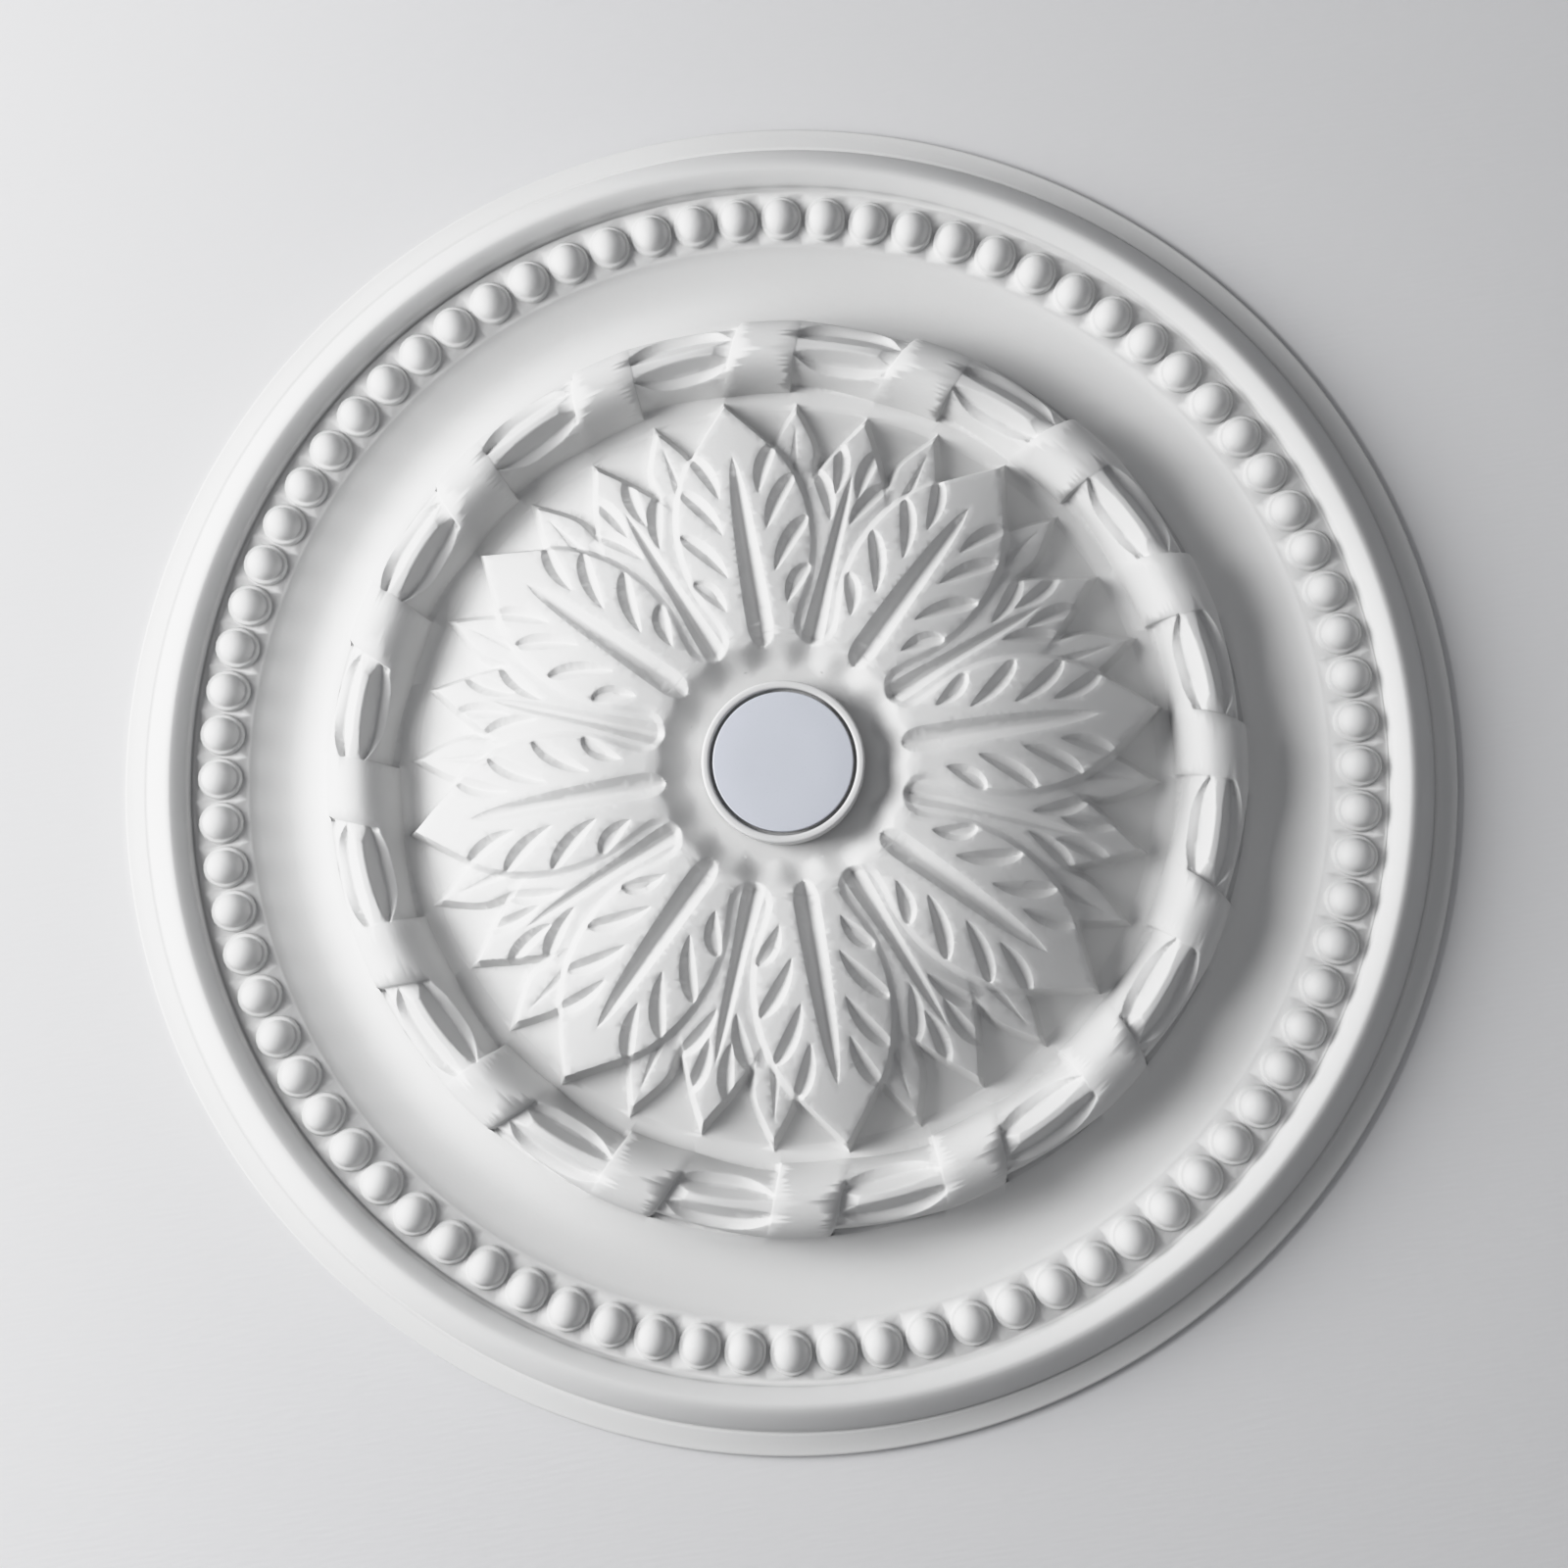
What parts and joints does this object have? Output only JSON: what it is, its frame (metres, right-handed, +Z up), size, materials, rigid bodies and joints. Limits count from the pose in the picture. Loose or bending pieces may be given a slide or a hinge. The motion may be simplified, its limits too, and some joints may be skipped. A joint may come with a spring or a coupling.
{
  "type": "ceiling rose",
  "caption": "White plaster ceiling rose with a half-round rim, egg-shaped beads, a bound garland ring, layered leaves and a small round plastic cover in the middle.",
  "frame": {"origin": "centre of the flat back face that beds on the ceiling", "axes": "+Z up, square out of the back face into the ceiling; the relief hangs down along -Z; +X and +Y each run out along the midrib of a front leaf"},
  "size_m": [0.5996, 0.5996, 0.0595],
  "materials": {
    "plaster": "matt painted plaster",
    "ring_plastic": "satin",
    "disc_plastic": "satin"
  },
  "bodies": {
    "root": {"rose_casting": "plaster", "cap_ring": "ring_plastic", "cap_disc": "disc_plastic"}
  },
  "joints": []
}
